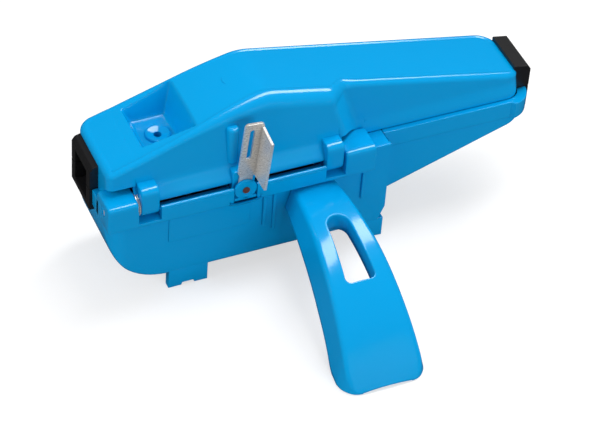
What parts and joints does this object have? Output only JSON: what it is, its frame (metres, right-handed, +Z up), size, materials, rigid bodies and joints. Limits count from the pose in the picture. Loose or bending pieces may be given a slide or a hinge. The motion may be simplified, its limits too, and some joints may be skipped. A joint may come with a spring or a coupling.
{
  "type": "bicycle chain cleaner",
  "caption": "Hand-held chain cleaning tank with a side-hinged lid, spinning brush rollers, sponges, a steel holder arm and a long curved handle.",
  "frame": {"origin": "middle of the outer box, on the ground plane", "axes": "+X along the chain from the end with the fill pocket to the narrow end; +Y away from the handle; +Z up"},
  "size_m": [0.2446, 0.1634, 0.1065],
  "materials": {
    "blue_plastic": "glossy injection-moulded blue plastic",
    "black_plastic": "satin black plastic",
    "brown_plastic": "dark brown moulded pin end",
    "steel": "bright bare steel",
    "bristle_nylon": "black nylon bristles",
    "sponge": "open-cell foam"
  },
  "bodies": {
    "tank_body": {"tank": "blue_plastic", "handle": "blue_plastic", "handle_screws": "steel", "hinge_pin_left": "steel", "hinge_pin_right": "steel", "hinge_washers": "steel", "chain_guide_lower_left": "black_plastic", "chain_guide_lower_right": "black_plastic", "latch_pin": "steel", "axle_lower_front": "steel", "axle_lower_rear": "steel", "carrier_lower": "black_plastic", "carrier_screws_lower": "steel", "side_brushes": "bristle_nylon", "sponge_lower": "sponge", "magnet": "steel", "magnet_cover": "black_plastic"},
    "lid_body": {"lid": "blue_plastic", "holder_arm_pin": "brown_plastic", "chain_guide_upper_left": "black_plastic", "chain_guide_upper_right": "black_plastic", "axle_upper": "steel", "carrier_upper": "black_plastic", "carrier_screws_upper": "steel", "sponge_upper": "sponge"},
    "holder_arm_body": {"holder_arm": "steel"},
    "latch_body": {"latch_lever": "blue_plastic"},
    "roller_front": {"brush_lower_front": "bristle_nylon"},
    "roller_rear": {"brush_lower_rear": "bristle_nylon"},
    "roller_upper": {"brush_upper": "bristle_nylon"}
  },
  "joints": [
    {"name": "lid_hinge", "type": "hinge", "parent": "tank_body", "child": "lid_body", "pos_m": [-0.04825, 0.0235, 0.0623], "axis": [1, 0, 0], "range_deg": [0, 60]},
    {"name": "holder_arm_hinge", "type": "hinge", "parent": "lid_body", "child": "holder_arm_body", "pos_m": [-0.04775, 0.01795, 0.0615], "axis": [0, 1, 0], "range_deg": [-40, 0]},
    {"name": "latch_hinge", "type": "hinge", "parent": "tank_body", "child": "latch_body", "pos_m": [-0.03275, 0.0787, 0.0575], "axis": [-1, 0, 0], "range_deg": [0, 100]},
    {"name": "roller_front_spin", "type": "hinge", "parent": "tank_body", "child": "roller_front", "pos_m": [-0.06875, 0.0523, 0.0445], "axis": [0, 1, 0], "continuous": true},
    {"name": "roller_rear_spin", "type": "hinge", "parent": "tank_body", "child": "roller_rear", "pos_m": [0.00325, 0.0523, 0.0445], "axis": [0, 1, 0], "continuous": true},
    {"name": "roller_upper_spin", "type": "hinge", "parent": "lid_body", "child": "roller_upper", "pos_m": [-0.03275, 0.0523, 0.081], "axis": [0, 1, 0], "continuous": true}
  ]
}
